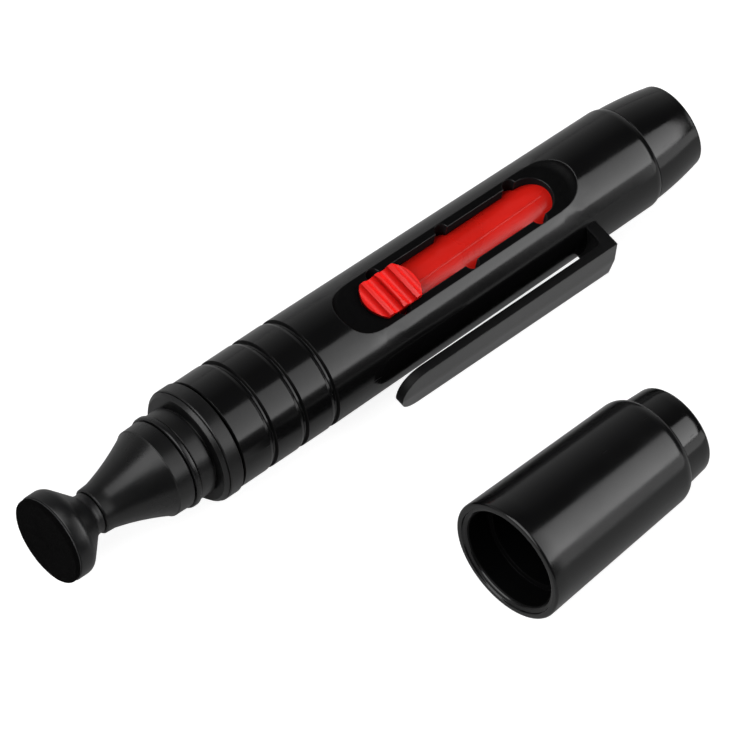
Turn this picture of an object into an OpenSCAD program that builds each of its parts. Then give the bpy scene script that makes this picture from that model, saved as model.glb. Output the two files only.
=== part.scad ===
// Lens cleaning pen: barrel with a sliding retractable brush, spring clip,
// flexible suede-covered cleaning tip, and a loose cap with a carbon felt inside.
// X runs along the pen from the tip to the brush end, +Z faces out of the slider
// slot, and the origin is on the axis at the barrel's front face.

/* [Barrel] */
// Radius of the grip bands at the front of the barrel
band_r = 7.5; // [7.4:0.05:7.6]
// Radius of the barrel where its rear shoulder starts
rear_r = 7; // [6.9:0.02:7.1]
// Radius of the bore that the brush carriage slides in
bore_r = 5.05; // [4.9:0.05:5.2]
// X of the joint line behind the front flange
front_seam_x = 2.65; // [2.4:0.05:2.9]
// Width of that joint line
front_gap = 0.35; // [0.1:0.05:0.5]
// X of the joint line in front of the rear sleeve
rear_seam_x = 72; // [71:0.5:74]
// X of the middle of the first grip groove
groove_x = 7.92; // [7.5:0.02:8.3]
// Distance from one grip groove to the next
groove_pitch = 4.93; // [4.5:0.05:5.2]
// Width of a grip groove
groove_w = 0.5; // [0.3:0.1:1]
// Depth of a grip groove
groove_depth = 0.35; // [0.2:0.05:0.7]

/* [Slider slot] */
// Half width of the slot, also the radius of its round ends
slot_r = 2.82; // [2.78:0.02:2.9]
// X of the front end of the slot
slot_x0 = 27.5; // [27.3:0.1:27.6]
// X of the rear end of the slot
slot_x1 = 57.8; // [57.6:0.1:58.4]
// Half width of the recess around the slot
pocket_r = 3.9; // [3.7:0.05:4]
// X of the front end of the recess
pocket_x0 = 23.4; // [22.8:0.1:24]
// X of the rear end of the recess
pocket_x1 = 61.2; // [60.8:0.1:62]
// Height of the recess floor above the axis at the first notch
floor_z = 6.3; // [6.2:0.05:6.4]
// X of the first pair of click notches, where the brush is in
notch_x = 31.4; // [31.3:0.1:31.5]
// Radius of a click notch
notch_r = 0.95; // [0.5:0.05:1]

/* [Slider button] */
// Diameter of the round button before its sides are cut flat
button_d = 7.75; // [7.2:0.05:7.8]
// Half width of the button's head across the slot
button_half_w = 2.8; // [2.7:0.05:3]
// Distance the button and its well sit off centre, towards the clip
slider_play = 0.3; // [0:0.05:0.3]
// Gap between the button's neck and the slot on the clip side
button_gap = 0.08; // [0.05:0.01:0.15]
// Height of the button's middle rib above the axis
rib_z = 7.35; // [7.25:0.05:7.5]
// Distance between the ribs
rib_pitch = 2.08; // [1.8:0.02:2.1]
// How far the button can be pressed
press_travel = 0.2; // [0.1:0.05:0.2]

/* [Brush] */
// How far the brush slides out
brush_travel = 22.4; // [20:0.1:22.4]
// Running clearance of the brush carriage in the bore
carriage_gap = 0.08; // [0.05:0.01:0.1]
// X of the rear end of the brush carriage
carriage_x1 = 58.2; // [58:0.1:59.5]
// X of the tips of the bristles when the brush is in
bristle_x1 = 79; // [76:0.5:79.2]
// Radius of the bristle tuft at its widest
tuft_r = 3.9; // [3.4:0.1:4.4]

/* [Front end] */
// Radius of the front flange
flange_r = 7.7; // [7.6:0.05:7.8]
// Radius of the collar in front of the flange
collar_r = 6; // [5.9:0.05:6.05]
// Radius of the ring between the collar and the nose cone
ring_r = 6.3; // [6.15:0.05:6.5]
// X of the front end of the nose cone
cone_x0 = -14.85; // [-15:0.05:-14.6]
// X where the cone ends and its plain band begins
cone_x1 = -5.95; // [-6.5:0.05:-5.6]
// Radius of the nose cone at its front end
cone_front_r = 3.05; // [2.95:0.05:3.2]
// Radius of the cleaning tip's disc
disc_r = 5.85; // [5.5:0.05:5.9]
// X of the face of the cleaning pad
pad_x0 = -22; // [-22.2:0.1:-21.8]
// Thickness of the cleaning pad
pad_t = 0.65; // [0.4:0.05:0.8]
// Radius of the tip's waist
waist_r = 2.72; // [2.6:0.02:2.9]

/* [Clip] */
// Half width of the clip
clip_half_w = 3.34; // [3:0.02:3.5]
// Distance from the axis to the clip's inner face
clip_in = 9.2; // [9:0.1:9.6]
// Thickness of the clip at its edges
clip_t = 1.18; // [0.8:0.02:1.3]
// Height of the shallow ridge along the clip's outer face
clip_ridge = 0.3; // [0.2:0.1:0.6]
// X of the clip's free end
clip_x0 = 25.8; // [25:0.1:27]
// X of the rear face of the clip's root
clip_x1 = 60.7; // [60.5:0.1:62]

/* [Cap] */
// Radius of the cap at its mouth
cap_mouth_r = 8.35; // [8.1:0.05:8.6]
// Radius of the cap where its shoulder starts
cap_end_r = 7.5; // [7.3:0.02:7.6]
// Length of the cap's main shell from its mouth to its shoulder
cap_shell_l = 23.9; // [23.7:0.1:24.3]
// Radius of the wide bore in the first part of the cap
cap_wide_r = 6.8; // [6.7:0.05:6.9]
// Depth of the ledge inside the cap
cap_ledge = 4; // [3.9:0.1:4.4]
// Length of the whole cap
cap_l = 29.95; // [29:0.05:30.5]
// Radius of the small end of the cap
cap_plug_r = 6.48; // [6.2:0.02:6.6]
// Where the middle of the cap's mouth lies beside the pen
cap_pos = [21.15, -35, 0];
// Angle between the cap and the pen
cap_yaw = 4.05; // [0:0.05:8]

/* [Hidden] */

eps = 0.01;
press_gap = 0.02;
seam = 0.05;

// front end
bush_front_x = -3.55;
spigot_r = 5.85;
spigot_x1 = 12.5;
neck_r = 5.55;
neck_x = -0.35;
ring_seat_r = 5.3;
ring_w = 0.95;
ring_gap = 0.08;
cone_tail_r = 2.85;
cone_tail_x = 8;
stem_r = 1.28;
stem_x1 = -9.2;

// barrel
grooves_n = 3;
taper_x0 = groove_x + (grooves_n - 1) * groove_pitch + groove_w / 2;
taper_x1 = rear_seam_x - 1;
shoulder_r = 2;
sleeve_spigot_x = 64.2;
spigot_gap = 0.15;
floor_tilt = 0.6;
pocket_end_r = 4.85;
pocket_sweep = 1.3;
pocket_lead = 0.4;
pocket_h = 3;

// cleaning tip
backing_t = 0.2;
disc_x0 = pad_x0 + pad_t + backing_t;
pivot_x = -15.1;
tip_ball_r = 1.4;
tip_socket_r = 1.45;
waist_x = -15.45;
waist_fillet = 1.2;
disc_round = 1.5;

// brush
carriage_r = bore_r - carriage_gap;
carriage_x0 = 28;
carriage_floor_z = -3.2;
ferrule_r = 3.6;
ferrule_bore_r = 3;
ferrule_x0 = 52.2;
ferrule_collar_r = 4.4;
ferrule_x1 = 62;

// button and its spring
notch_pitch = brush_travel / 2;
well = [4.2, 4.8];
well_z = 1;
stem = [4, 4.6];
stem_z0 = 3.2;
neck_z0 = bore_r - carriage_gap + 0.08 + press_travel;
neck_l = 7;
button_neck_r = slot_r - button_gap - slider_play;
head_z0 = floor_z + 0.1 + press_travel;
rib_r = 0.42;
valley_r = 0.95;
spring_t = 0.2;
spring_w = 3.4;
spring_half_l = 1.9;

// clip
clip_out = clip_in + clip_t;
clip_hinge_x = 58;
clip_split = 0.1;
clip_foot_x = 59.1;
clip_fillet = 0.8;
clip_foot_in = 6.1;
clip_tenon = [0.8, 4];
tenon_x = clip_foot_x + 0.4;

// cap
cap_grip_r = collar_r + 0.12;
felt_cup_x = 21.9;
felt_cup_x1 = 24.15;
felt_x = 21.75;
felt_r = 5.45;
cap_seat_x = 24.2;
cap_plug_x = 25.6;
plug_spigot_r = 5.2;

/* Points on an arc in a profile, by centre, radius and start and end angle */
function arc(c, r, a0, a1, n) =
    [for (i = [0:n]) c + r * [cos(a0 + (a1 - a0) * i / n), sin(a0 + (a1 - a0) * i / n)]];

/* Radius of the barrel's tapered part at x */
function taper_r(x) =
    band_r + (rear_r - band_r) * (x - taper_x0) / (taper_x1 - taper_x0);

/* Body of revolution about the pen's axis; each point is [radius, x] */
module turned(points) {
    rotate([0, 90, 0])
        rotate_extrude($fn = 96)
            polygon(points);
}

/* Plain round bar along the pen's axis */
module rod(r, x0, x1) {
    translate([x0, 0, 0])
        rotate([0, 90, 0])
            cylinder(r = r, h = x1 - x0, $fn = 96);
}

/* Upright prism with round ends, from x0 to x1, cut from z0 up to z1 */
module long_slot(r, x0, x1, z0, z1) {
    for (x = [x0 + r, x1 - r])
        translate([x, 0, z0])
            cylinder(r = r, h = z1 - z0, $fn = 64);
    translate([x0 + r, -r, z0])
        cube([x1 - x0 - 2 * r, 2 * r, z1 - z0]);
}

/* Recess around the slot: flat floor whose ends sweep up to the surface */
module pocket() {
    mid_x0 = pocket_x0 + pocket_end_r;
    mid_x1 = pocket_x1 - pocket_end_r;
    end_section = concat([[0, 0]],
        arc([pocket_end_r - pocket_sweep, pocket_sweep], pocket_sweep, -90, 0, 8),
        [[pocket_end_r, pocket_h], [0, pocket_h]]);
    translate([notch_x, 0, floor_z])
        rotate([0, floor_tilt, 0])
            translate([-notch_x, 0, 0]) {
                for (x = [mid_x0, mid_x1])
                    translate([x, 0, 0])
                        rotate_extrude($fn = 96)
                            polygon(end_section);
                translate([mid_x0 - pocket_lead, -pocket_r, 0])
                    cube([mid_x1 - mid_x0 + 2 * pocket_lead, 2 * pocket_r, pocket_h]);
            }
}

module barrel_outline() {
    edge = 0.12;
    lip = [0.5, 0.1];
    front_x = front_seam_x + front_gap;
    bands = [for (i = [0:grooves_n - 1])
        let (x = groove_x - groove_w / 2 + i * groove_pitch)
        each [[band_r, x - lip[0]], [band_r - lip[1], x - edge],
              [band_r - lip[1] - edge, x], [band_r - groove_depth, x + edge],
              [band_r - groove_depth, x + groove_w - edge],
              [band_r - edge, x + groove_w], [band_r, x + groove_w + edge]]];
    turned(concat(
        [[spigot_r + press_gap, front_x], [band_r - edge, front_x], [band_r, front_x + edge]],
        bands,
        arc([rear_r - shoulder_r, taper_x1], shoulder_r, 0, 30, 6),
        [[spigot_r + press_gap, rear_seam_x],
         [spigot_r + press_gap, sleeve_spigot_x - spigot_gap],
         [bore_r, sleeve_spigot_x - spigot_gap],
         [bore_r, spigot_x1 + spigot_gap],
         [spigot_r + press_gap, spigot_x1 + spigot_gap]]));
}

module barrel() {
    color("#161617")
        difference() {
            barrel_outline();
            pocket();
            long_slot(slot_r, slot_x0, slot_x1, 0, 9);
            for (i = [0:2], side = [-1, 1])
                translate([notch_x + i * notch_pitch, side * slot_r, 0])
                    cylinder(r = notch_r, h = 9, $fn = 48);
            translate([tenon_x - press_gap, -8, -clip_tenon[1] / 2 - press_gap])
                cube([clip_tenon[0] + 2 * press_gap, 8 - clip_foot_in, clip_tenon[1] + 2 * press_gap]);
        }
}

/* Stepped bush pressed into the barrel: flange with a lip, neck and collar */
module front_bush() {
    lip_r = 7.25;
    lip_x = [0.12, 0.46];
    line_x = [0.52, 0.62];
    line_depth = 0.2;
    edge = 0.12;
    collar_x = bush_front_x + ring_w;
    color("#19191a")
        turned([
            [cone_tail_r + press_gap, bush_front_x],
            [ring_seat_r, bush_front_x],
            [ring_seat_r, collar_x],
            [collar_r - edge, collar_x],
            [collar_r, collar_x + edge],
            [collar_r, neck_x - edge],
            [collar_r - edge, neck_x],
            [neck_r, neck_x],
            [neck_r, 0],
            [lip_r - edge, 0],
            [lip_r, lip_x[0]],
            [flange_r - edge, lip_x[1]],
            [flange_r - line_depth - edge, line_x[0]],
            [flange_r - line_depth - edge, line_x[1]],
            [flange_r - edge, line_x[1] + 0.02],
            [flange_r, line_x[1] + 0.02 + edge],
            [flange_r, front_seam_x - edge],
            [flange_r - edge, front_seam_x],
            [spigot_r, front_seam_x],
            [spigot_r, spigot_x1 - 0.3],
            [spigot_r - 0.3, spigot_x1],
            [cone_tail_r + press_gap, spigot_x1]]);
}

/* Round-edged ring that sits in the bush's front groove */
module grip_ring() {
    ring_x0 = bush_front_x + ring_gap;
    ring_x1 = bush_front_x + ring_w - ring_gap;
    round_r = 0.2;
    color("#1d1d1e")
        turned(concat(
            [[ring_seat_r + press_gap, ring_x0]],
            arc([ring_r - round_r, ring_x0 + round_r], round_r, -90, 0, 4),
            arc([ring_r - round_r, ring_x1 - round_r], round_r, 0, 90, 4),
            [[ring_seat_r + press_gap, ring_x1]]));
}

/* Cone that holds the cleaning tip, with a plain band and a tail in the bush */
module nose_cone() {
    collar_end_x = -13.3;
    throat_r = cone_front_r + 0.1;
    cone_l = cone_x1 - collar_end_x;
    bell = 0.0165;
    steps = 10;
    slope = (collar_r - 0.18 - throat_r) / cone_l - bell * cone_l;
    flank = [for (i = [0:steps])
        let (s = cone_l * i / steps)
        [throat_r + slope * s + bell * s * s, collar_end_x + s]];
    color("#1b1b1c")
        turned(concat(
            [[tip_socket_r + 0.1, cone_x0],
             [cone_front_r - 0.15, cone_x0],
             [cone_front_r, cone_x0 + 0.15]],
            flank,
            [[collar_r - 0.05, cone_x1 + 0.1],
             [collar_r, bush_front_x - 0.15],
             [collar_r - 0.15, bush_front_x],
             [cone_tail_r, bush_front_x],
             [cone_tail_r, cone_tail_x],
             [stem_r + press_gap, cone_tail_x],
             [stem_r + press_gap, cone_x0 + 2],
             [tip_socket_r + 0.1, cone_x0 + 1.4]]));
}

/* Stiff core that the soft tip turns on: a pin with a ball end */
module tip_stem() {
    color("#2a2a2c")
        difference() {
            union() {
                rod(stem_r, cone_x0 + 2.1, stem_x1);
                rod(0.9, pivot_x, cone_x0 + 2.2);
                translate([pivot_x, 0, 0])
                    sphere(r = tip_ball_r, $fn = 64);
            }
            rod(0.35, stem_x1 - 3, stem_x1 + eps);
        }
}

/* Soft trumpet: a disc for the pad, flaring out from a thin waist */
module tip_head() {
    flare = 45;
    fillet_c = [waist_r + waist_fillet, waist_x];
    start = fillet_c + waist_fillet * [cos(180 + flare), sin(180 + flare)];
    round_c = [disc_r - disc_round,
               start[1] + start[0] - disc_r + disc_round - disc_round * sqrt(2)];
    mouth_x = pivot_x - 0.12;
    color("#1e1e20")
        turned(concat(
            [[0, disc_x0], [disc_r - 0.1, disc_x0], [disc_r, disc_x0 + 0.1]],
            arc(round_c, disc_round, 0, flare, 6),
            [for (i = [0:6]) let (a = 180 + flare - flare * i / 6)
                fillet_c + waist_fillet * [cos(a), sin(a)]],
            [[tip_socket_r, mouth_x]],
            arc([0, pivot_x], tip_socket_r, -15, -90, 8)));
}

/* Adhesive disc between the soft tip and the pad */
module pad_backing() {
    color("#3a3a3c")
        rod(disc_r - 0.2, disc_x0 - backing_t, disc_x0);
}

/* Suede pad with a softly rounded edge */
module cleaning_pad() {
    edge = 0.2;
    color("#0b0b0b")
        turned(concat(
            [[0, pad_x0]],
            arc([disc_r - 0.05 - edge, pad_x0 + edge], edge, -90, 0, 4),
            [[disc_r - 0.05, disc_x0 - backing_t], [0, disc_x0 - backing_t]]));
}

/* Outline of the clip across its width: flat inside, shallow gable outside */
module clip_section(half_w) {
    polygon([[-clip_in, -half_w], [-clip_in, half_w], [-clip_out, half_w],
             [-clip_out - clip_ridge, 0], [-clip_out, -half_w]]);
}

module clip_bar(x0, x1) {
    translate([x0, 0, 0])
        rotate([90, 0, 90])
            linear_extrude(height = x1 - x0)
                clip_section(clip_half_w);
}

/* Fixed foot of the clip: block with a tenon in the barrel wall */
module clip_root() {
    foot_l = clip_x1 - clip_foot_x;
    barrel_skin = [[0, 50], [taper_r(50) + eps, 50], [taper_r(64) + eps, 64], [0, 64]];
    color("#141415")
        difference() {
            union() {
                clip_bar(clip_hinge_x + clip_split, clip_x1);
                translate([clip_foot_x, -clip_in - eps, -clip_half_w])
                    cube([foot_l, clip_in - clip_foot_in + eps, 2 * clip_half_w]);
                difference() {
                    translate([clip_foot_x - clip_fillet, -clip_in - eps, -clip_half_w])
                        cube([clip_fillet + eps, clip_fillet, 2 * clip_half_w]);
                    translate([clip_foot_x - clip_fillet, clip_fillet - clip_in, -clip_half_w - 1])
                        cylinder(r = clip_fillet, h = 2 * clip_half_w + 2, $fn = 48);
                }
            }
            difference() {
                turned(barrel_skin);
                translate([tenon_x, -8, -clip_tenon[1] / 2])
                    cube([clip_tenon[0], 8 - clip_foot_in - press_gap, clip_tenon[1]]);
            }
        }
}

/* Springy tongue of the clip, with a round free end */
module clip_tongue() {
    color("#141415")
        intersection() {
            clip_bar(clip_x0, clip_hinge_x - clip_split);
            union() {
                translate([clip_x0 + clip_half_w, -12, -clip_half_w])
                    cube([clip_hinge_x - clip_x0, 5, 2 * clip_half_w]);
                translate([clip_x0 + clip_half_w, -7, 0])
                    rotate([90, 0, 0])
                        cylinder(r = clip_half_w, h = 5, $fn = 64);
            }
        }
}

/* Tapered sleeve that closes the barrel around the brush */
module rear_sleeve() {
    sleeve_l = 7.5;
    sleeve_step = 0.28;
    sleeve_slope = 0.055;
    sleeve_curve = 0.0106;
    steps = 8;
    lip = 0.3;
    flank = [for (i = [0:steps])
        let (s = sleeve_l * i / steps)
        [rear_r - sleeve_step - sleeve_slope * s - sleeve_curve * s * s, rear_seam_x + seam + s]];
    tip_r = flank[steps][0];
    tip_x = flank[steps][1];
    color("#1a1a1b")
        turned(concat(
            [[bore_r, sleeve_spigot_x], [spigot_r, sleeve_spigot_x],
             [spigot_r, rear_seam_x + seam]],
            flank,
            arc([tip_r - lip, tip_x], lip, 15, 90, 5),
            [[bore_r + 0.1, tip_x + lip], [bore_r, tip_x + lip - 0.1]]));
}

/* Red carriage that carries the brush and shows through the slot */
module brush_carriage() {
    edge = 0.3;
    ridge_w = 0.2;
    ridge_rise = 0.05;
    ridge_y = -0.75;
    ridge_yaw = 1.4;
    color("#d8261e")
        difference() {
            union() {
                turned([[0, carriage_x0], [carriage_r - edge, carriage_x0],
                        [carriage_r, carriage_x0 + edge], [carriage_r, carriage_x1 - edge],
                        [carriage_r - edge, carriage_x1], [0, carriage_x1]]);
                intersection() {
                    translate([carriage_x0 + 6, ridge_y, carriage_r - 0.3])
                        rotate([0, 0, ridge_yaw])
                            cube([carriage_x1 - carriage_x0 - 7.5, ridge_w, 1]);
                    rod(carriage_r + ridge_rise, carriage_x0, carriage_x1);
                }
            }
            translate([carriage_x0 - 1, -6, -6])
                cube([carriage_x1 - carriage_x0 + 2, 12, 6 + carriage_floor_z]);
            translate([notch_x - well[0] / 2, -slider_play - well[1] / 2, well_z])
                cube([well[0], well[1], 6]);
            rod(ferrule_r + press_gap, ferrule_x0 - 0.1, carriage_x1 + 1);
            rod(2.4, carriage_x0 + 7, ferrule_x0);
        }
}

/* Bar along Y, centred on the button, at x and z */
module cross_bar(r, x, z) {
    translate([x, button_d, z])
        rotate([90, 0, 0])
            cylinder(r = r, h = 2 * button_d, $fn = 72);
}

/* Top of the button: three round ribs with hollows between and beside them */
module button_head() {
    crown_along = 14;
    crown_across = 16;
    crown_z = rib_z + 0.08;
    rib_drop = 0.12;
    end_lift = 0.05;
    rib_c = rib_z - rib_r;
    reach = rib_r + valley_r;
    valley_c = rib_c + sqrt(reach * reach - rib_pitch * rib_pitch / 4);
    flank_z = rib_c + rib_r * (valley_c - rib_c) / reach;
    intersection() {
        translate([0, 0, head_z0])
            cylinder(d = button_d, h = 3, $fn = 96);
        translate([-button_d, -button_half_w, 0])
            cube([2 * button_d, 2 * button_half_w, 10]);
        cross_bar(crown_along, 0, crown_z - crown_along);
        translate([-button_d, 0, crown_z - crown_across])
            rotate([0, 90, 0])
                cylinder(r = crown_across, h = 2 * button_d, $fn = 96);
        union() {
            difference() {
                translate([-button_d, -button_d, head_z0])
                    cube([2 * button_d, 2 * button_d, flank_z - head_z0]);
                for (i = [-0.5, 0.5])
                    cross_bar(valley_r, i * rib_pitch, valley_c - rib_drop / 2);
                for (i = [-1.5, 1.5])
                    cross_bar(valley_r, i * rib_pitch, valley_c + end_lift);
            }
            for (i = [-1:1])
                cross_bar(rib_r, i * rib_pitch, rib_c - abs(i) * rib_drop);
        }
    }
}

/* Sliding button: ribbed head over the slot, neck in the slot, stem in its well */
module slide_button() {
    color("#f0281e")
        translate([notch_x, -slider_play, 0]) {
            button_head();
            long_slot(button_neck_r, -neck_l / 2, neck_l / 2, neck_z0, head_z0 + eps);
            translate([-stem[0] / 2, -stem[1] / 2, stem_z0])
                cube([stem[0], stem[1], neck_z0 - stem_z0 + eps]);
        }
}

/* Bowed leaf spring under the button's stem */
module button_spring() {
    rise = stem_z0 - well_z - 0.04;
    bow_r = (spring_half_l * spring_half_l + rise * rise) / (2 * rise);
    color("silver")
        translate([notch_x, spring_w / 2 - slider_play, well_z + rise - bow_r + 0.02])
            rotate([90, 0, 0])
                linear_extrude(height = spring_w)
                    intersection() {
                        difference() {
                            circle(r = bow_r, $fn = 96);
                            circle(r = bow_r - spring_t, $fn = 96);
                        }
                        translate([-spring_half_l, bow_r - rise])
                            square([2 * spring_half_l, rise + 1]);
                    }
}

/* Tube that holds the bristles, with a collar outside the carriage */
module brush_ferrule() {
    collar_x = carriage_x1 + seam;
    color("#151516")
        turned([
            [0, ferrule_x0], [ferrule_r, ferrule_x0], [ferrule_r, collar_x],
            [ferrule_collar_r, collar_x], [ferrule_collar_r, ferrule_x1 - 0.4],
            [ferrule_collar_r - 0.4, ferrule_x1], [ferrule_bore_r, ferrule_x1],
            [ferrule_bore_r, ferrule_x0 + 1.8], [0, ferrule_x0 + 1.8]]);
}

/* Plug of set adhesive that anchors the bristles */
module tuft_anchor() {
    color("#8a7f6c")
        rod(ferrule_bore_r - press_gap, ferrule_x0 + 1.85, ferrule_x0 + 4);
}

/* Bristle tuft: straight in the ferrule, swelling out, with a domed tip */
module brush_tuft() {
    root_r = ferrule_bore_r - press_gap;
    tuft_x0 = ferrule_x0 + 4.05;
    swell_x = ferrule_x1 + 0.5;
    dome = 4;
    steps = 8;
    swell = [for (i = [0:steps])
        let (u = i / steps)
        [root_r + (tuft_r - root_r) * sin(90 * u), swell_x + (bristle_x1 - dome - swell_x) * u]];
    tip = [for (i = [1:steps])
        let (a = 90 * i / steps)
        [tuft_r * cos(a), bristle_x1 - dome + dome * sin(a)]];
    color("#232020")
        turned(concat([[0, tuft_x0], [root_r, tuft_x0]], swell, tip));
}

/* Puts a cap piece, drawn along X with its mouth at 0, where the cap lies:
   tipped so that its mouth and its shoulder both touch the table */
module in_cap() {
    cap_pitch = atan((cap_mouth_r - cap_end_r) / cap_shell_l);
    translate(cap_pos)
        rotate([0, cap_pitch, cap_yaw])
            children();
}

/* Outer shell of the cap: lipped mouth, ledge inside, rounded shoulder */
module cap_shell() {
    lip_r = 7.55;
    shoulder_l = cap_plug_x - cap_shell_l;
    color("#161617")
        in_cap()
            turned(concat(
                [[cap_wide_r, 0.6], [cap_wide_r + 0.3, 0.3], [lip_r - 0.1, 0.22], [lip_r, 0]],
                arc([cap_mouth_r - 0.35, 0.35], 0.35, -90, 0, 5),
                [for (i = [0:8]) let (a = 90 * i / 8)
                    [cap_plug_r + (cap_end_r - cap_plug_r) * cos(a),
                     cap_shell_l + shoulder_l * sin(a)]],
                [[plug_spigot_r + press_gap, cap_plug_x],
                 [plug_spigot_r + press_gap, cap_seat_x],
                 [cap_grip_r, cap_seat_x],
                 [cap_grip_r, cap_ledge + 0.1],
                 [cap_wide_r, cap_ledge]]));
}

/* Shallow cup that holds the felt at the bottom of the cap */
module felt_cup() {
    color("#202022")
        in_cap()
            turned([
                [0, felt_cup_x1 - 0.7], [felt_r + press_gap, felt_cup_x1 - 0.7],
                [felt_r + press_gap, felt_cup_x], [cap_grip_r - press_gap, felt_cup_x],
                [cap_grip_r - press_gap, felt_cup_x1], [0, felt_cup_x1]]);
}

/* Felt disc loaded with carbon, which recoats the pad when the cap is on */
module carbon_felt() {
    color("#0e0e0e")
        in_cap()
            rod(felt_r, felt_x, felt_cup_x1 - 0.72);
}

/* Small stepped end of the cap */
module cap_end_plug() {
    round_r = 0.66;
    draft = 0.33;
    color("#1a1a1b")
        in_cap()
            turned(concat(
                [[0, cap_seat_x], [plug_spigot_r, cap_seat_x],
                 [plug_spigot_r, cap_plug_x + seam], [cap_plug_r, cap_plug_x + seam]],
                arc([cap_plug_r - draft - round_r, cap_l - round_r], round_r, 10, 90, 5),
                [[0, cap_l]]));
}

barrel();
front_bush();
grip_ring();
nose_cone();
tip_stem();
tip_head();
pad_backing();
cleaning_pad();
clip_root();
clip_tongue();
rear_sleeve();
brush_carriage();
slide_button();
button_spring();
brush_ferrule();
tuft_anchor();
brush_tuft();
cap_shell();
felt_cup();
carbon_felt();
cap_end_plug();
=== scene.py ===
"""Looks of the lens cleaning pen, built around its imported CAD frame."""
import math

import bmesh
import bpy
import numpy as np
from mathutils import Matrix, Vector


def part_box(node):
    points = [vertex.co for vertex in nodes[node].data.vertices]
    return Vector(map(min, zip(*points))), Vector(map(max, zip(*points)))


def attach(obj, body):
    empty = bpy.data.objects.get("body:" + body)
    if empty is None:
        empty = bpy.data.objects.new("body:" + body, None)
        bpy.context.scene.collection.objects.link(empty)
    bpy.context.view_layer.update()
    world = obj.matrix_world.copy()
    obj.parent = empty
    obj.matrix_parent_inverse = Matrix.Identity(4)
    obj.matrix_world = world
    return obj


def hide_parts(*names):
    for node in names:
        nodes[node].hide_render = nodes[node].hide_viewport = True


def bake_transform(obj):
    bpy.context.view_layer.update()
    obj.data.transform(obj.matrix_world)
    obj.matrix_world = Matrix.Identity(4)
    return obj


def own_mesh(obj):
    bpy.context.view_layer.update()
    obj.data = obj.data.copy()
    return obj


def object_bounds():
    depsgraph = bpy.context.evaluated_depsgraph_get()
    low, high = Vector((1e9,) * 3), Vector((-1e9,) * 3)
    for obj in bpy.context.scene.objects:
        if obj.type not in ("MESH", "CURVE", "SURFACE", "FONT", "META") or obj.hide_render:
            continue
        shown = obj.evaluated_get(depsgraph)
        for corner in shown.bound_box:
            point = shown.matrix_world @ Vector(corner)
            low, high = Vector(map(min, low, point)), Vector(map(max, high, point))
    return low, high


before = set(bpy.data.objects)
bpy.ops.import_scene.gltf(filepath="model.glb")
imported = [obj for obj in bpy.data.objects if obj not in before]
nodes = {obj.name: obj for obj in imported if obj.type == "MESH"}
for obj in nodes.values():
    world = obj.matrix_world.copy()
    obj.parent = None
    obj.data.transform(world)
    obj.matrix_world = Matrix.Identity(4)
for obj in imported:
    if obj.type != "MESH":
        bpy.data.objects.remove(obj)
cad_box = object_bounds()

MM = 0.001

# Barrel: radii of its grip bands and its rear end, and the X range of the taper between them
BAND_R = 7.5 * MM
REAR_R = 7.0 * MM
TAPER = (18.03 * MM, 71.0 * MM)
# X behind the last grip groove
GROOVES_END = 20.0 * MM
# Furthest that the slot and its notches reach to either side
SLOT_REACH = 3.85 * MM

# Cap as it lies: middle of its mouth, turn about Z, and tip about Y onto mouth and shoulder
CAP_PLACE = Vector((21.15, -35.0, 0)) * MM
CAP_MOUTH_R = 8.35 * MM
CAP_END_R = 7.5 * MM
CAP_SHELL_L = 23.9 * MM
CAP_YAW = math.radians(4.05)
CAP_PITCH = math.atan((CAP_MOUTH_R - CAP_END_R) / CAP_SHELL_L)
CAP_TURN = Matrix.Rotation(CAP_YAW, 4, "Z") @ Matrix.Rotation(CAP_PITCH, 4, "Y")
# Surfaces of the cap's shell within this radius are dull, as its bore is, and darkened by painted shade
CAP_BORE_R = 6.95 * MM

# Colours of the black plastics, and of their rubbed edges
GLOSS_BLACK = (0.0028, 0.0028, 0.003)
SATIN_BLACK = (0.004, 0.004, 0.0042)
RUBBED = (0.15, 0.15, 0.15, 1)

# ------------------------------------------------------------------- shaders


def add(tree, kind, settings=None, **inputs):
    """Add a shader node; inputs are values or the sockets that feed them."""
    made = tree.nodes.new("ShaderNode" + kind)
    for key, value in (settings or {}).items():
        setattr(made, key, value)
    for key, value in inputs.items():
        plug(tree, made.inputs[key.replace("_", " ")], value)
    return made


def plug(tree, socket, value):
    """Feed a socket from another socket, or set its value."""
    if isinstance(value, bpy.types.NodeSocket):
        tree.links.new(value, socket)
    else:
        socket.default_value = value


def calc(tree, operation, first, second=0.0, clamp=False):
    """Output of one math node."""
    made = tree.nodes.new("ShaderNodeMath")
    made.operation = operation
    made.use_clamp = clamp
    plug(tree, made.inputs[0], first)
    plug(tree, made.inputs[1], second)
    return made.outputs[0]


def blend_of(tree, share, first, second):
    """Colour between first and second."""
    made = tree.nodes.new("ShaderNodeMix")
    made.data_type = "RGBA"
    plug(tree, made.inputs["Factor"], share)
    plug(tree, made.inputs[6], first)
    plug(tree, made.inputs[7], second)
    return made.outputs[2]


def span(tree, value, low, high, out_low=0.0, out_high=1.0):
    """Value mapped from low..high to out_low..out_high, held at the ends."""
    made = add(tree, "MapRange", Value=value, From_Min=low, From_Max=high,
               To_Min=out_low, To_Max=out_high)
    return made.outputs[0]


def noise(tree, point, size, detail=2.0, stretch=None):
    """Noise whose features are about size metres wide."""
    if stretch:
        point = add(tree, "Mapping", Vector=point, Scale=stretch).outputs[0]
    made = add(tree, "TexNoise", Vector=point, Scale=1 / size, Detail=detail)
    return made.outputs[0]


def dot_of(tree, first, second):
    """Dot product of two vectors."""
    made = tree.nodes.new("ShaderNodeVectorMath")
    made.operation = "DOT_PRODUCT"
    plug(tree, made.inputs[0], first)
    plug(tree, made.inputs[1], second)
    return made.outputs["Value"]


def shade(color, factor):
    """A colour made darker or lighter, with its alpha."""
    return (*[min(c * factor, 1) for c in color], 1)


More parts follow.
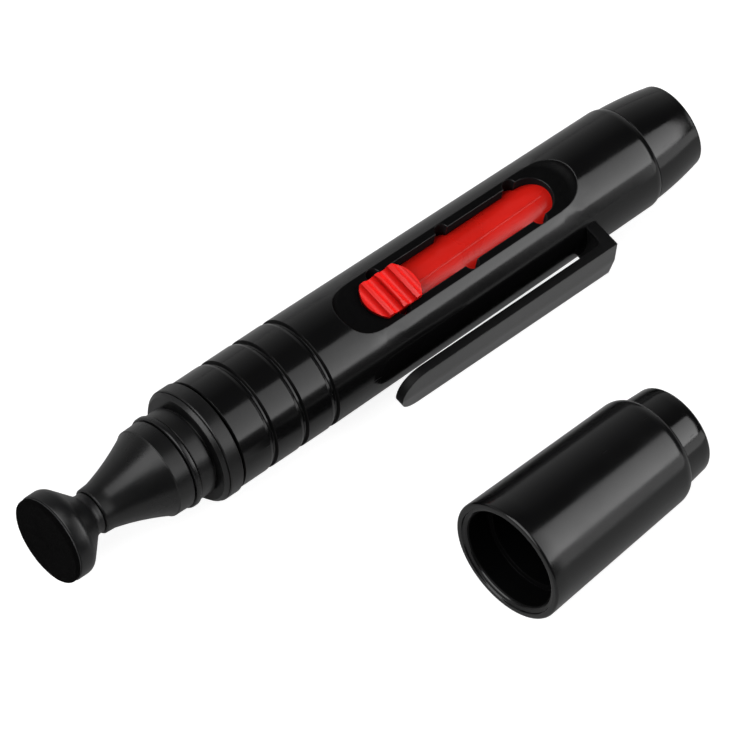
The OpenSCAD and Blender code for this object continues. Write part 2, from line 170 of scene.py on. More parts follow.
def start_material(name):
    """A material's node tree with its output, principled shader and object coordinates."""
    mat = bpy.data.materials.new(name)
    mat.use_nodes = True
    tree = mat.node_tree
    tree.nodes.clear()
    out = tree.nodes.new("ShaderNodeOutputMaterial")
    shader = tree.nodes.new("ShaderNodeBsdfPrincipled")
    tree.links.new(shader.outputs[0], out.inputs[0])
    point = tree.nodes.new("ShaderNodeTexCoord").outputs["Object"]
    return mat, tree, shader, point


def edge_of(tree, radius):
    """Rounded normal near edges, and a mask that is 1 on the edges themselves."""
    bevel = add(tree, "Bevel", {"samples": 6}, Radius=radius)
    true_normal = add(tree, "NewGeometry").outputs["Normal"]
    mask = span(tree, dot_of(tree, bevel.outputs[0], true_normal), 0.995, 0.85)
    return bevel.outputs[0], mask


def scratches(tree, point, seed):
    """Sparse hairline scratches along the pen, as a 0..1 mask."""
    moved = add(tree, "Mapping", Vector=point, Location=(seed, seed * 0.7, 0)).outputs[0]
    lines = noise(tree, moved, 0.00025, 1.0, (0.035, 1.0, 1.0))
    patches = noise(tree, moved, 0.009, 2.0)
    thin = span(tree, lines, 0.70, 0.76)
    return calc(tree, "MULTIPLY", thin, span(tree, patches, 0.5, 0.62))


def moulded(name, color, rough, grain=(0.00012, 0.000004), edge=0.00012, wear=0.25,
            rough_swing=0.05, seed=0.0, specular=0.5, inside=None):
    """Moulded plastic: tone drift, fine grain, hairlines and paler worn edges.

    inside(tree, point) is the mask of a part left as moulded and duller, whose base is darkened by
    painted shade."""
    mat, tree, shader, point = start_material(name)
    broad = noise(tree, point, 0.006, 3.0)
    fine = noise(tree, point, grain[0], 3.0)
    normal, on_edge = edge_of(tree, edge)
    patchy = span(tree, noise(tree, point, 0.0016, 4.0), 0.4, 0.65)
    rubbed = calc(tree, "MULTIPLY", on_edge, patchy)
    base = blend_of(tree, broad, shade(color, 0.82), shade(color, 1.2))
    worn = (*[c + (0.16 - 0.1 * c) for c in color], 1)
    base = blend_of(tree, calc(tree, "MULTIPLY", rubbed, wear), base, worn)
    lines = scratches(tree, point, seed)
    drift = span(tree, broad, 0.3, 0.7, rough - rough_swing, rough + rough_swing)
    roughness = calc(tree, "ADD", drift, calc(tree, "MULTIPLY", rubbed, 0.2))
    roughness = calc(tree, "ADD", roughness, calc(tree, "MULTIPLY", lines, 0.12), True)
    if inside:
        dull_and_shaded = inside(tree, point)
        # painted shade: the masked part's base colour is darkened
        base = blend_of(tree, dull_and_shaded, base, shade(color, 0.6))
        roughness = calc(tree, "ADD", roughness, calc(tree, "MULTIPLY", dull_and_shaded, 0.27))
        plug(tree, shader.inputs["IOR"], span(tree, dull_and_shaded, 0.0, 1.0, 1.5, 1.2))
    height = calc(tree, "ADD", fine, calc(tree, "MULTIPLY", lines, -0.6))
    bump = add(tree, "Bump", Height=height, Distance=grain[1], Normal=normal)
    plug(tree, shader.inputs["Base Color"], base)
    plug(tree, shader.inputs["Roughness"], roughness)
    plug(tree, shader.inputs["Normal"], bump.outputs[0])
    shader.inputs["Specular IOR Level"].default_value = specular
    return mat


def cap_bore_mask(tree, point):
    """1 on the inside of the cap, behind its mouth lip."""
    made = tree.nodes.new("ShaderNodeVectorMath")
    made.operation = "SUBTRACT"
    plug(tree, made.inputs[0], point)
    plug(tree, made.inputs[1], CAP_PLACE)
    offset = made.outputs[0]
    along = dot_of(tree, offset, CAP_TURN @ Vector((1, 0, 0)))
    squared = calc(tree, "SUBTRACT", dot_of(tree, offset, offset),
                   calc(tree, "MULTIPLY", along, along))
    bore = calc(tree, "LESS_THAN", squared, CAP_BORE_R ** 2)
    return calc(tree, "MULTIPLY", bore, calc(tree, "GREATER_THAN", along, 0.4 * MM))


def recess_mask(tree, point):
    """1 on the barrel's recess, slot walls and grooves, 0 on its tapered skin."""
    x, y, z = add(tree, "SeparateXYZ", Vector=point).outputs
    squared = calc(tree, "ADD", calc(tree, "MULTIPLY", y, y), calc(tree, "MULTIPLY", z, z))
    radius = calc(tree, "SQRT", squared)
    skin = span(tree, x, TAPER[0], TAPER[1], BAND_R, REAR_R)
    depth = calc(tree, "SUBTRACT", skin, radius)
    outward = add(tree, "CombineXYZ", Y=y, Z=z).outputs[0]
    normal = add(tree, "NewGeometry").outputs["True Normal"]
    turned = calc(tree, "DIVIDE", dot_of(tree, normal, outward), radius)
    cut = calc(tree, "MULTIPLY", calc(tree, "LESS_THAN", turned, 0.975),
               calc(tree, "GREATER_THAN", depth, 0.005 * MM))
    past_grooves = calc(tree, "GREATER_THAN", x, GROOVES_END)
    rear_wall = calc(tree, "LESS_THAN", dot_of(tree, normal, (1, 0, 0)), 0.0)
    cut = calc(tree, "MULTIPLY", cut, calc(tree, "MAXIMUM", past_grooves, rear_wall))
    sunk = calc(tree, "MULTIPLY", calc(tree, "GREATER_THAN", depth, 0.22 * MM), past_grooves)
    behind = calc(tree, "LESS_THAN", x, TAPER[1])
    return calc(tree, "MULTIPLY", calc(tree, "MAXIMUM", cut, sunk), behind)


def slot_wall_mask(tree, point):
    """1 on the upright walls of the barrel's slot and its notches."""
    x, y, z = add(tree, "SeparateXYZ", Vector=point).outputs
    up = add(tree, "SeparateXYZ", Vector=add(tree, "NewGeometry").outputs["True Normal"]).outputs[2]
    upright = calc(tree, "LESS_THAN", calc(tree, "ABSOLUTE", up), 0.3)
    near = calc(tree, "LESS_THAN", calc(tree, "ABSOLUTE", y), SLOT_REACH)
    top = calc(tree, "GREATER_THAN", z, 4.5 * MM)
    inside = calc(tree, "MULTIPLY", near, calc(tree, "GREATER_THAN", x, GROOVES_END))
    return calc(tree, "MULTIPLY", calc(tree, "MULTIPLY", upright, top), inside)


def barrel_plastic():
    """Polished skin with spark-eroded recess, slot walls and grooves. Painted shade darkens the recessed
    faces' base colour; painted light pales the slot's upright walls.
    """
    mat, tree, shader, point = start_material("barrel_gloss")
    recess = recess_mask(tree, point)
    wall = slot_wall_mask(tree, point)
    broad = noise(tree, point, 0.008, 3.0)
    x = add(tree, "SeparateXYZ", Vector=point).outputs[0]
    rounding = span(tree, x, GROOVES_END - MM, GROOVES_END, 0.07 * MM, 0.2 * MM)
    normal, on_edge = edge_of(tree, rounding)
    lines = scratches(tree, point, 0.0)
    gloss = calc(tree, "ADD", span(tree, broad, 0.3, 0.7, 0.12, 0.18),
                 calc(tree, "MULTIPLY", lines, 0.15))
    matte = span(tree, noise(tree, point, 0.0007, 3.0), 0.3, 0.7, 0.42, 0.56)
    flat = calc(tree, "MULTIPLY", recess, calc(tree, "SUBTRACT", 1.0, on_edge))
    roughness = add(tree, "Mix", Factor=flat)
    plug(tree, roughness.inputs[2], gloss)
    plug(tree, roughness.inputs[3], matte)
    dimmed = calc(tree, "SUBTRACT", span(tree, flat, 0.0, 1.0, 1.5, 1.17),
                  calc(tree, "MULTIPLY", calc(tree, "MULTIPLY", wall, flat), 0.14))
    plug(tree, shader.inputs["IOR"], dimmed)
    patchy = span(tree, noise(tree, point, 0.0014, 4.0), 0.42, 0.66)
    rubbed = calc(tree, "MULTIPLY", on_edge, patchy)
    base = blend_of(tree, broad, shade(GLOSS_BLACK, 0.8), shade(GLOSS_BLACK, 1.25))
    # painted shade: the recessed faces get a darker base than the skin
    base = blend_of(tree, recess, base, shade(GLOSS_BLACK, 0.7))
    # painted light: the slot's upright walls get a paler base so they read grey
    base = blend_of(tree, wall, base, shade(GLOSS_BLACK, 4.5))
    base = blend_of(tree, calc(tree, "MULTIPLY", rubbed, 0.14), base, RUBBED)
    eroded = calc(tree, "MULTIPLY", noise(tree, point, 0.00016, 4.0),
                  calc(tree, "MULTIPLY", recess, 1.6))
    skin = calc(tree, "MULTIPLY", noise(tree, point, 0.0009, 2.0), 0.25)
    height = calc(tree, "ADD", calc(tree, "ADD", eroded, skin), calc(tree, "MULTIPLY", lines, -0.15))
    bump = add(tree, "Bump", Height=height, Distance=0.000012, Normal=normal)
    plug(tree, shader.inputs["Base Color"], base)
    plug(tree, shader.inputs["Roughness"], roughness.outputs[0])
    plug(tree, shader.inputs["Normal"], bump.outputs[0])
    return mat


def clip_plastic():
    """Clip: polished outer face, spark-eroded sides and underside."""
    mat, tree, shader, point = start_material("clip_plastic")
    facing = add(tree, "SeparateXYZ", Vector=add(tree, "NewGeometry").outputs["Normal"])
    outer = span(tree, facing.outputs[1], -0.8, -0.9)
    broad = noise(tree, point, 0.005, 3.0)
    normal, on_edge = edge_of(tree, 0.00012)
    patchy = span(tree, noise(tree, point, 0.0014, 4.0), 0.4, 0.65)
    rubbed = calc(tree, "MULTIPLY", on_edge, patchy)
    matte = span(tree, noise(tree, point, 0.0006, 3.0), 0.3, 0.7, 0.45, 0.58)
    gloss = span(tree, broad, 0.3, 0.7, 0.12, 0.2)
    plug(tree, shader.inputs["IOR"], span(tree, outer, 0.0, 1.0, 1.25, 2.0))
    roughness = add(tree, "Mix", Factor=outer)
    plug(tree, roughness.inputs[2], matte)
    plug(tree, roughness.inputs[3], gloss)
    base = blend_of(tree, broad, shade(GLOSS_BLACK, 0.8), shade(GLOSS_BLACK, 1.2))
    base = blend_of(tree, calc(tree, "MULTIPLY", rubbed, 0.2), base, RUBBED)
    rough_side = calc(tree, "SUBTRACT", 1.0, outer)
    height = calc(tree, "MULTIPLY", noise(tree, point, 0.00018, 4.0), rough_side)
    bump = add(tree, "Bump", Height=height, Distance=0.000015, Normal=normal)
    plug(tree, shader.inputs["Base Color"], base)
    plug(tree, shader.inputs["Roughness"], roughness.outputs[0])
    plug(tree, shader.inputs["Normal"], bump.outputs[0])
    return mat


def fibrous(name, color, size, depth, sheen):
    """Suede or felt: short tangled nap with a faint sheen."""
    mat, tree, shader, point = start_material(name)
    nap = noise(tree, point, size, 6.0)
    tufts = noise(tree, point, size * 7, 3.0)
    base = blend_of(tree, span(tree, nap, 0.35, 0.65), shade(color, 0.55), shade(color, 1.7))
    base = blend_of(tree, span(tree, tufts, 0.4, 0.6, 0.0, 0.45), base, shade(color, 0.5))
    height = calc(tree, "ADD", nap, calc(tree, "MULTIPLY", tufts, 1.5))
    bump = add(tree, "Bump", Height=height, Distance=depth)
    plug(tree, shader.inputs["Base Color"], base)
    plug(tree, shader.inputs["Roughness"], span(tree, nap, 0.3, 0.7, 0.85, 1.0))
    plug(tree, shader.inputs["Normal"], bump.outputs[0])
    shader.inputs["Specular IOR Level"].default_value = 0.04
    shader.inputs["Sheen Weight"].default_value = sheen
    shader.inputs["Sheen Roughness"].default_value = 0.6
    return mat


def spring_metal():
    """Rolled steel strip with fine lengthwise brushing."""
    mat, tree, shader, point = start_material("spring_steel")
    brush = noise(tree, point, 0.00008, 3.0, (0.05, 1.0, 1.0))
    tone = noise(tree, point, 0.001, 3.0)
    steel = blend_of(tree, tone, (0.5, 0.49, 0.47, 1), (0.66, 0.65, 0.63, 1))
    plug(tree, shader.inputs["Base Color"], steel)
    plug(tree, shader.inputs["Roughness"], span(tree, brush, 0.3, 0.7, 0.22, 0.42))
    bump = add(tree, "Bump", Height=brush, Distance=0.000004)
    plug(tree, shader.inputs["Normal"], bump.outputs[0])
    shader.inputs["Metallic"].default_value = 1.0
    return mat


def bristle_hair():
    """Dark goat hair: tone drifts from fibre to fibre and pales at the tips."""
    mat, tree, shader, point = start_material("bristle_hair")
    per_fibre = noise(tree, point, 0.0003, 2.0, (0.02, 1.0, 1.0))
    share = span(tree, per_fibre, 0.35, 0.65)
    base = blend_of(tree, share, (0.006, 0.005, 0.005, 1), (0.05, 0.04, 0.035, 1))
    x = add(tree, "SeparateXYZ", Vector=point).outputs[0]
    tips = span(tree, x, 72 * MM, 79 * MM, 0.0, 0.4)
    base = blend_of(tree, tips, base, (0.09, 0.075, 0.06, 1))
    plug(tree, shader.inputs["Base Color"], base)
    plug(tree, shader.inputs["Roughness"], span(tree, per_fibre, 0.3, 0.7, 0.35, 0.55))
    return mat


def set_adhesive(name, color):
    """Cured adhesive: cloudy, slightly wavy and half glossy."""
    mat, tree, shader, point = start_material(name)
    cloud = noise(tree, point, 0.0012, 4.0)
    base = blend_of(tree, cloud, shade(color, 0.7), shade(color, 1.25))
    plug(tree, shader.inputs["Base Color"], base)
    plug(tree, shader.inputs["Roughness"], span(tree, cloud, 0.3, 0.7, 0.25, 0.5))
    bump = add(tree, "Bump", Height=cloud, Distance=0.00005)
    plug(tree, shader.inputs["Normal"], bump.outputs[0])
    return mat


# ------------------------------------------------------------ carried-over CAD


def smooth_group(limit):
    """Geometry nodes: join split vertices, shade smooth, keep edges above limit degrees sharp."""
    group = bpy.data.node_groups.new(f"smooth_{limit}", "GeometryNodeTree")
    group.interface.new_socket("Geometry", in_out="INPUT", socket_type="NodeSocketGeometry")
    group.interface.new_socket("Geometry", in_out="OUTPUT", socket_type="NodeSocketGeometry")
    make = group.nodes.new
    link = group.links.new
    source = make("NodeGroupInput")
    merge = make("GeometryNodeMergeByDistance")
    merge.inputs["Distance"].default_value = 1e-6
    faces = make("GeometryNodeSetShadeSmooth")
    angle = make("GeometryNodeInputMeshEdgeAngle")
    compare = make("FunctionNodeCompare")
    compare.operation = "GREATER_THAN"
    compare.inputs[1].default_value = math.radians(limit)
    edges = make("GeometryNodeSetShadeSmooth")
    edges.domain = "EDGE"
    edges.inputs["Shade Smooth"].default_value = False
    out = make("NodeGroupOutput")
    link(source.outputs[0], merge.inputs[0])
    link(merge.outputs[0], faces.inputs[0])
    link(angle.outputs["Unsigned Angle"], compare.inputs[0])
    link(faces.outputs[0], edges.inputs[0])
    link(compare.outputs[0], edges.inputs["Selection"])
    link(edges.outputs[0], out.inputs[0])
    return group


FINE = smooth_group(13)
ROUND = smooth_group(24)


def finish_node(name, material, smooth=ROUND):
    """Give a CAD node its material and smooth shading."""
    obj = nodes[name]
    obj.data.materials.clear()
    obj.data.materials.append(material)
    obj.modifiers.new("smooth", "NODES").node_group = smooth


def finish_cad():
    """Materials of every CAD node that stays on show."""
    gloss = moulded("black_gloss", GLOSS_BLACK, 0.12, seed=0.3, wear=0.14)
    satin = moulded("black_satin", SATIN_BLACK, 0.3, (0.0001, 0.000005), seed=0.7, wear=0.18)
    ring = moulded("black_ring", (0.005, 0.005, 0.0053), 0.28, (0.0001, 0.000006), seed=1.1,
                   wear=0.18)
    stem = moulded("stem_plastic", (0.02, 0.02, 0.021), 0.4, seed=1.9)
    button = moulded("red_button", (0.88, 0.009, 0.006), 0.45, (0.00014, 0.000008), 0.0001, 0.1,
                     seed=2.3, specular=0.16)
    carriage = moulded("red_carriage", (0.78, 0.014, 0.008), 0.3, (0.00016, 0.000008), seed=2.9)
    finish_node("barrel", barrel_plastic(), FINE)
    shell = moulded("cap_gloss", GLOSS_BLACK, 0.17, seed=4.1, wear=0.14, inside=cap_bore_mask)
    bush = moulded("bush_satin", SATIN_BLACK, 0.32, (0.0001, 0.000005), seed=0.9, wear=0.14)
    for name in ("rear_sleeve", "cap_end_plug"):
        finish_node(name, gloss)
    finish_node("cap_shell", shell)
    for name in ("nose_cone", "brush_ferrule", "felt_cup"):
        finish_node(name, satin)
    finish_node("front_bush", bush)
    finish_node("grip_ring", ring)
    finish_node("tip_stem", stem)
    finish_node("slide_button", button)
    finish_node("brush_carriage", carriage)
    finish_node("pad_backing", set_adhesive("pad_adhesive", (0.04, 0.04, 0.042)))
    finish_node("tuft_anchor", set_adhesive("anchor_resin", (0.25, 0.21, 0.15)))


# ---------------------------------------------------------------- mesh pieces


def mesh_object(name, verts, faces, material, sharp=35):
    """A smooth-shaded object from lists, sharp only above the given angle."""
    mesh = bpy.data.meshes.new(name)
    mesh.from_pydata([tuple(v) for v in verts], [], faces)
    mesh.validate()
    work = bmesh.new()
    work.from_mesh(mesh)
    bmesh.ops.remove_doubles(work, verts=work.verts, dist=1e-7)
    bmesh.ops.recalc_face_normals(work, faces=work.faces)
    work.to_mesh(mesh)
    work.free()
    mesh.shade_smooth()
    mesh.set_sharp_from_angle(angle=math.radians(sharp))
    mesh.materials.append(material)
    obj = bpy.data.objects.new(name, mesh)
    bpy.context.scene.collection.objects.link(obj)
    return obj


def lathe(profile, segments, ripple=None):
    """Vertices and faces of a profile of (x, r) in millimetres turned about X.

    ripple(ring, angles) gives offsets (dx, dr) in millimetres for a ring of points."""
    angles = np.arange(segments) * 2 * math.pi / segments
    verts = []
    faces = []
    for ring, (x, r) in enumerate(profile):
        dx, dr = ripple(ring, angles) if ripple and r > 0 else (0, 0)
        xs = np.full(segments, x) + dx
        rs = np.full(segments, r) + dr
        rows = np.stack([xs, rs * np.cos(angles), rs * np.sin(angles)], 1) * MM
        verts.extend(rows.tolist())
    for ring in range(len(profile) - 1):
        low = ring * segments
        for k in range(segments):
            nxt = (k + 1) % segments
            faces.append((low + k, low + nxt, low + segments + nxt, low + segments + k))
    return verts, faces


def arc_points(center, radius, start, end, steps):
    """Points (x, r) on an arc, by angles in degrees from +x towards +r."""
    turn = [math.radians(start + (end - start) * i / steps) for i in range(steps + 1)]
    return [(center[0] + radius * math.cos(a), center[1] + radius * math.sin(a)) for a in turn]


# Soft tip, in millimetres: front of the pad, disc, waist, rear end of the neck, ball socket
PAD_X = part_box("cleaning_pad")[0].x / MM
DISC_X = PAD_X + 0.85
DISC_R = 5.85
WAIST_R = 2.72
WAIST_X = -15.45
NECK_X = -14.87
PIVOT_X = -15.1
SOCKET_R = 1.47


def build_soft_tip():
    """Soft trumpet: disc, rounded rim, flare, slim waist and neck, with a ball socket."""
    rim_r = 1.5
    fillet = 1.25
    flare = math.radians(45)
    fillet_x = WAIST_X
    fillet_r = WAIST_R + fillet
    start_x = fillet_x - fillet * math.sin(flare)
    start_r = fillet_r - fillet * math.cos(flare)
    rim_c_r = DISC_R - rim_r
    rim_c_x = start_x - (rim_c_r + rim_r * math.cos(flare) - start_r) - rim_r * math.sin(flare)
    face = [(DISC_X, 0), (DISC_X, 2.5), (DISC_X, DISC_R - 0.18),
            (DISC_X + 0.05, DISC_R - 0.06), (DISC_X + 0.16, DISC_R)]
    rim = arc_points((rim_c_x, rim_c_r), rim_r, 90, 45, 10)
    rim = [(x, r) for x, r in rim if x > DISC_X + 0.2]
    waist = arc_points((fillet_x, fillet_r), fillet, 225, 270, 12)
    neck = [(WAIST_X + 0.15, WAIST_R), (NECK_X - 0.14, WAIST_R + 0.02),
            (NECK_X - 0.05, WAIST_R - 0.01), (NECK_X, WAIST_R - 0.08)]
    mouth = [(NECK_X, SOCKET_R + 0.12), (NECK_X - 0.1, SOCKET_R)]
    socket = arc_points((PIVOT_X, 0), SOCKET_R, 90, 180, 10)
    verts, faces = lathe(face + rim + waist + neck + mouth + socket, 96)
    rubber = moulded("soft_rubber", (0.005, 0.005, 0.0055), 0.33, (0.00009, 0.000008), wear=0.1,
                     seed=3.7)
    tip = mesh_object("soft_tip", verts, faces, rubber, 40)
    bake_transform(tip)
    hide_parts("tip_head")


def build_pad():
    """Suede pad: crowned face, soft edge that wanders slightly where it was cut."""
    rng = np.random.default_rng(11)
    phases = rng.uniform(0, 2 * math.pi, 9)
    edge_r = DISC_R - 0.05
    back_x = DISC_X - 0.2
    face_rings = 6

    def wander(angles):
        """How far the cut edge strays from round."""
        waves = zip(range(3, 30, 3), phases)
        return sum(math.cos(p) * np.cos(n * angles + p) / n for n, p in waves) * 0.028

    def ripple(ring, angles):
        """Nap on the face, and the wandering cut on the rings outside its middle."""
        nap = rng.normal(0, 0.007, len(angles))
        return nap, wander(angles) if ring >= face_rings else nap

    face = [(PAD_X + 0.03, 0)]
    face += [(PAD_X + 0.03 + 0.0008 * r * r, r) for r in np.linspace(0.5, edge_r - 0.3, 22)]
    edge = [(PAD_X + 0.32 - 0.26 * math.cos(a), edge_r - 0.3 + 0.25 * math.sin(a))
            for a in np.linspace(0.3, 1.57, 6)]
    side = [(PAD_X + 0.45, edge_r - 0.04), (back_x - 0.02, edge_r - 0.05), (back_x - 0.015, edge_r - 0.2)]
    verts, faces = lathe(face + edge + side + [(back_x - 0.015, 0)], 144, ripple)
    suede = fibrous("suede", (0.0022, 0.0021, 0.0022), 0.00011, 0.00005, 0.0)
    pad = mesh_object("suede_pad", verts, faces, suede, 70)
    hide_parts("cleaning_pad")
    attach(pad, "tip")


# Clip, in millimetres: inner face, outer face at its sides and crest, half width, ends, foot
CLIP_IN = 9.2
CLIP_OUT = 10.38
CLIP_CREST = 10.68
CLIP_W = 3.34
CLIP_X = (25.8, 60.7)
FOOT_X = 59.1
FILLET = 0.8


def skin_r(x):
    """Radius of the barrel's skin at x, all in millimetres."""
    share = (x - TAPER[0] / MM) / ((TAPER[1] - TAPER[0]) / MM)
    return (BAND_R + (REAR_R - BAND_R) * share) / MM


def clip_ring(x):
    """Closed ring of (y, z) round the clip at x: flat inside, shallow gable outside."""
    steps = 12
    ahead = max(CLIP_X[0] + CLIP_W - x, 0)
    half = math.sqrt(max(CLIP_W ** 2 - ahead ** 2, 0))
    tip_round = 0.1 * (ahead / CLIP_W) ** 8
    across = np.linspace(-1, 1, steps + 1) * half
    if x >= FOOT_X:
        inner = -np.sqrt(skin_r(x) ** 2 - across ** 2) - 0.005
    elif x > FOOT_X - FILLET:
        rise = FILLET - math.sqrt(FILLET ** 2 - (x - FOOT_X + FILLET) ** 2)
        inner = np.full(steps + 1, -CLIP_IN + rise)
    else:
        inner = np.full(steps + 1, -CLIP_IN - tip_round)
    crest = CLIP_CREST - CLIP_OUT
    outer = -CLIP_OUT - crest * (1 - np.abs(across) / CLIP_W) + tip_round
    return list(zip(inner, across)) + list(zip(outer[::-1], across[::-1]))


def build_clip():
    """One-piece spring clip: round free end, creased outer face, filleted foot."""
    tip = [CLIP_X[0] + CLIP_W * (1 - math.cos(a)) for a in np.linspace(0.1, math.pi / 2, 26)]
    bar = list(np.linspace(tip[-1] + 0.8, FOOT_X - FILLET, 44))
    fillet = [FOOT_X - FILLET + FILLET * math.sin(a)
              for a in np.linspace(0.2, math.pi / 2 - 0.02, 7)]
    foot = [FOOT_X, FOOT_X + 0.5, CLIP_X[1] - 0.12, CLIP_X[1]]
    stations = tip + bar + fillet + foot
    rings = [clip_ring(x) for x in stations]
    count = len(rings[0])
    verts = [(x * MM, y * MM, z * MM) for x, ring in zip(stations, rings) for y, z in ring]
    faces = []
    for k in range(len(stations) - 1):
        low = k * count
        for j in range(count):
            nxt = (j + 1) % count
            faces.append((low + j, low + nxt, low + count + nxt, low + count + j))
    last = (len(stations) - 1) * count
    half = count // 2
    for start in (0, last):
        for j in range(half - 1):
            faces.append((start + j, start + j + 1, start + count - 2 - j, start + count - 1 - j))
    clip = mesh_object("pocket_clip", verts, faces, clip_plastic(), 30)
    bevel = clip.modifiers.new("bevel", "BEVEL")
    bevel.width = 0.13 * MM
    bevel.segments = 3
    bevel.limit_method = "ANGLE"
    bevel.angle_limit = math.radians(38)
    bevel.harden_normals = False
    apply_modifiers(clip)
    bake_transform(clip)
    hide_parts("clip_root", "clip_tongue")


def apply_modifiers(obj):
    """Replace an object's mesh with its evaluated mesh."""
    graph = bpy.context.evaluated_depsgraph_get()
    done = bpy.data.meshes.new_from_object(obj.evaluated_get(graph))
    obj.modifiers.clear()
    obj.data = done
    done.shade_smooth()
    done.set_sharp_from_angle(angle=math.radians(40))


def build_spring():
    """Leaf spring under the button, a copy of the CAD node's mesh carried with the brush; the real spring
    flattens as the button is pressed.
    """
    source = nodes["button_spring"].data
    verts = [v.co for v in source.vertices]
    faces = [tuple(face.vertices) for face in source.polygons]
    spring = mesh_object("leaf_spring", verts, faces, spring_metal())
    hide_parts("button_spring")
    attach(spring, "brush")
    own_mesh(spring)


FIBRE_SIDES = 3


def fibre_rings(rng, share, turn):
    """Rings of points of one bristle, whose root sits at the given share of the radius."""
    root_x = 56.3
    root_r = 2.9
    tuft_r = 3.75
    end_x = 78.9
    dome = 3.8
    rings = 7
    tip_share = min(share + rng.normal(0, 0.02), 1.0)
    tip_turn = turn + rng.normal(0, 0.05)
    trim = rng.exponential(0.25)
    length = end_x - dome + dome * math.sqrt(max(1 - tip_share ** 2, 0)) - trim
    sway = rng.normal(0, 0.06, 2)
    thick = rng.uniform(0.045, 0.065)
    verts = []
    for i in range(rings):
        u = i / (rings - 1)
        swell = math.sin(min(u * 1.1, 1) * math.pi / 2)
        r = (root_r + (tuft_r - root_r) * swell) * (share + (tip_share - share) * u)
        a = turn + (tip_turn - turn) * u
        x = root_x + (length - root_x) * u
        y = r * math.cos(a) + sway[0] * math.sin(math.pi * u)
        z = r * math.sin(a) + sway[1] * math.sin(math.pi * u)
        fine = thick * (1 if i < rings - 1 else 0.35)
        for s in range(FIBRE_SIDES):
            b = 2 * math.pi * s / FIBRE_SIDES
            verts.append((x * MM, (y + fine * math.cos(b)) * MM, (z + fine * math.sin(b)) * MM))
    return verts


def build_tuft():
    """Bristle tuft: seeded fibres that leave the ferrule, swell and end in a dome."""
    rng = np.random.default_rng(5)
    count = 1300
    golden = math.pi * (3 - math.sqrt(5))
    verts = []
    faces = []
    for k in range(count):
        base = len(verts)
        verts += fibre_rings(rng, math.sqrt((k + 0.5) / count), k * golden)
        top = len(verts) - FIBRE_SIDES
        for low in range(base, top, FIBRE_SIDES):
            for s in range(FIBRE_SIDES):
                nxt = (s + 1) % FIBRE_SIDES
                faces.append((low + s, low + nxt, low + FIBRE_SIDES + nxt, low + FIBRE_SIDES + s))
        faces.append((base + 2, base + 1, base))
        faces.append((top, top + 1, top + 2))
    mesh = bpy.data.meshes.new("bristles")
    mesh.from_pydata(verts, [], faces)
    mesh.shade_smooth()
    mesh.materials.append(bristle_hair())
    tuft = bpy.data.objects.new("bristles", mesh)
    bpy.context.scene.collection.objects.link(tuft)
    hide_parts("brush_tuft")
    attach(tuft, "brush")


def build_felt():
    """Carbon felt: soft-edged disc with a matted, slightly dished face."""
    rng = np.random.default_rng(23)
    front_x = 21.75
    back_x = 23.42
    felt_r = 5.43
    napped_rings = 24

    def ripple(ring, angles):
        """Matted nap on the face and its edge, none on the sides and back."""
        nap = rng.normal(0, 0.02, len(angles))
        return (np.abs(nap), -np.abs(nap)) if ring < napped_rings else (0, 0)

    face = [(front_x + 0.12, 0)]
    face += [(front_x + 0.12 - 0.004 * r * r, r) for r in np.linspace(0.4, felt_r - 0.35, 18)]
    edge = [(front_x + 0.3 - 0.3 * math.cos(a), felt_r - 0.35 + 0.33 * math.sin(a))
            for a in np.linspace(0.1, 1.57, 6)]
    side = [(back_x - 0.1, felt_r - 0.02), (back_x, felt_r - 0.15), (back_x, 0)]
    verts, faces = lathe(face + edge + side, 120, ripple)
    carbon = fibrous("carbon_felt", (0.006, 0.006, 0.0065), 0.0002, 0.0001, 0.03)
    felt = mesh_object("felt_disc", verts, faces, carbon, 75)
    felt.data.transform(Matrix.Translation(CAP_PLACE) @ CAP_TURN)
    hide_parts("carbon_felt")
    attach(felt, "cap")


# ------------------------------------------------------------- floor and light


# Light that the floor gives off towards the camera only, so that it looks white
FLOOR_GLOW = 0.84


def floor_surface():
    """Pale matte sheet with a faint tone drift."""
    mat, tree, shader, point = start_material("floor_sheet")
    drift = noise(tree, point, 0.3, 2.0)
    tone = blend_of(tree, drift, (0.48, 0.48, 0.48, 1), (0.52, 0.52, 0.52, 1))
    plug(tree, shader.inputs["Base Color"], tone)
    shader.inputs["Roughness"].default_value = 0.9
    shader.inputs["Specular IOR Level"].default_value = 0.1
    shader.inputs["Emission Color"].default_value = (1, 1, 1, 1)
    direct = tree.nodes.new("ShaderNodeLightPath").outputs["Is Camera Ray"]
    plug(tree, shader.inputs["Emission Strength"], calc(tree, "MULTIPLY", direct, FLOOR_GLOW))
    return mat


def add_floor():
    """Wide pale floor just under the object."""
    low = cad_box[0].z - 0.01 * MM
    mesh = bpy.data.meshes.new("floor")
    half = 2.5
    corners = [(-half, -half, low), (half, -half, low), (half, half, low), (-half, half, low)]
    mesh.from_pydata(corners, [], [(0, 1, 2, 3)])
    floor = bpy.data.objects.new("floor", mesh)
    bpy.context.scene.collection.objects.link(floor)
    mesh.materials.append(floor_surface())


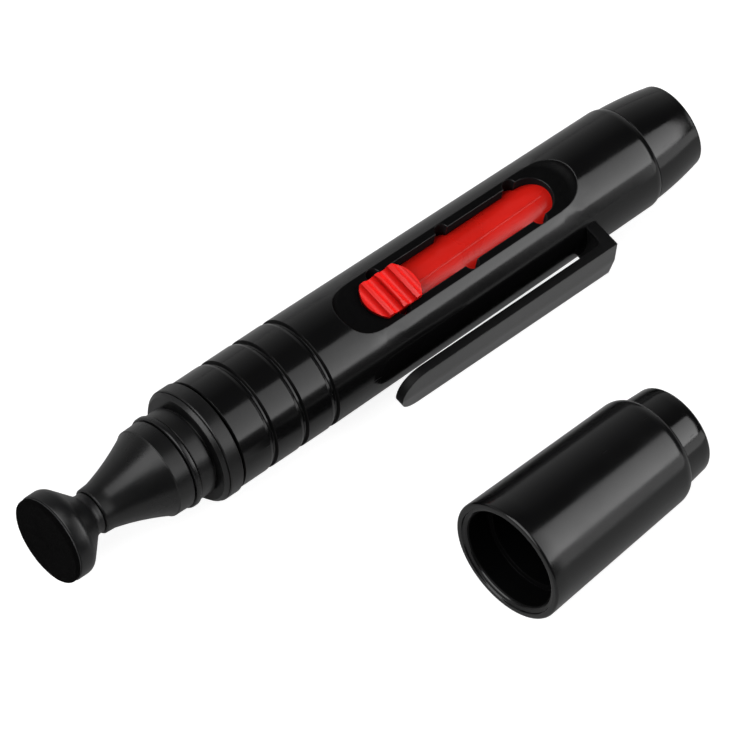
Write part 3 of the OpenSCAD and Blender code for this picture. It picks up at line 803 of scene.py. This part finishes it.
def add_box(name, place, facing, size, radiance, fade_x=None, fade_y=None):
    """Softbox: a rectangle with its first side level along X, lit to a given radiance.

    A fade is (from, to, low, high): shares of the side, and the strength at each."""
    data = bpy.data.lights.new(name, "AREA")
    data.shape = "RECTANGLE"
    data.size, data.size_y = size
    data.energy = radiance * math.pi * size[0] * size[1]
    data.use_nodes = True
    tree = data.node_tree
    emit = tree.nodes["Emission"]
    uv = add(tree, "NewGeometry").outputs["Parametric"]
    split = add(tree, "SeparateXYZ", Vector=uv)
    strength = 1.0
    for fade, share in ((fade_x, split.outputs[0]), (fade_y, split.outputs[1])):
        if fade:
            strength = calc(tree, "MULTIPLY", strength, span(tree, share, *fade))
    plug(tree, emit.inputs["Strength"], strength)
    lamp = bpy.data.objects.new(name, data)
    back = -Vector(facing).normalized()
    side = Vector((1, 0, 0))
    side = (side - back * side.dot(back)).normalized()
    turn = Matrix((side, back.cross(side), back)).transposed().to_4x4()
    lamp.matrix_world = Matrix.Translation(Vector(place)) @ turn
    lamp.visible_camera = False
    bpy.context.scene.collection.objects.link(lamp)
    return lamp


def link_light(lamp, state):
    """Keep a light off the slide button, or on the slide button only."""
    group = bpy.data.collections.new(lamp.name + "_link")
    lamp.light_linking.receiver_collection = group
    group.objects.link(nodes["slide_button"])
    group.collection_objects[0].light_linking.link_state = state


def add_sky():
    """Dim surroundings, paler towards the horizon on the far side."""
    world = bpy.data.worlds.new("world")
    bpy.context.scene.world = world
    world.use_nodes = True
    tree = world.node_tree
    toward = tree.nodes.new("ShaderNodeTexCoord").outputs["Generated"]
    split = add(tree, "SeparateXYZ", Vector=toward)
    far_side = span(tree, split.outputs[1], 0.05, 0.5)
    low_down = span(tree, split.outputs[2], 0.8, 0.0)
    glow = calc(tree, "MULTIPLY", far_side, low_down)
    sky = tree.nodes["Background"]
    sky.inputs[0].default_value = (1, 1, 1, 1)
    plug(tree, sky.inputs[1], span(tree, glow, 0.0, 1.0, 0.05, 0.48))


def add_lights():
    """Long softbox over the clip side, low card beyond it, boxes over the tip and the button."""
    add_box("softbox", (0.47, -0.478, 0.629), (0, 0.59, -0.81), (1.0, 0.83), 2.3,
            (0.2, 0.6, 0.15, 1.8), (0.0, 1.0, 1.0, 0.4))
    add_box("low_card", (0.85, -0.8, 0.14), (0, 1, 0), (0.75, 0.42), 1.2,
            (0.0, 0.12, 0.0, 1.0))
    top = add_box("top_box", (-0.16, 0.12, 0.86), (0.16, -0.12, -0.86), (0.5, 0.62), 2.8,
                  (0.0, 1.0, 1.0, 0.35))
    fill = add_box("fill", (-0.85, 0.1, 0.7), (0.85, -0.1, -0.7), (0.9, 1.1), 2.6)
    rise = Vector((0.23, 0.08, 0.44))
    key = add_box("button_key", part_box("slide_button")[1] + rise, -rise, (0.15, 0.15), 25.0)
    link_light(fill, "EXCLUDE")
    link_light(top, "EXCLUDE")
    link_light(key, "INCLUDE")
    add_sky()


def add_camera():
    """Long lens from ahead of the tip and above, rolled as the picture was taken."""
    aim = Vector((25.505, -5.66, 0)) * MM
    back = Vector((-0.4319, -0.3207, 0.8430)).normalized()
    up = Vector((0.5028, 0.6904, 0.5202))
    right = up.cross(back).normalized()
    up = back.cross(right)
    distance = 0.884
    data = bpy.data.cameras.new("camera")
    data.sensor_width = 36
    data.lens = 348.8
    data.clip_start = 0.05
    cam = bpy.data.objects.new("camera", data)
    rot = Matrix((right, up, back)).transposed().to_4x4()
    cam.matrix_world = Matrix.Translation(aim + back * distance) @ rot
    bpy.context.scene.collection.objects.link(cam)
    bpy.context.scene.camera = cam


finish_cad()
build_soft_tip()
build_pad()
build_clip()
build_spring()
build_tuft()
build_felt()
add_floor()
add_lights()
add_camera()
bpy.context.scene.view_settings.view_transform = "Standard"
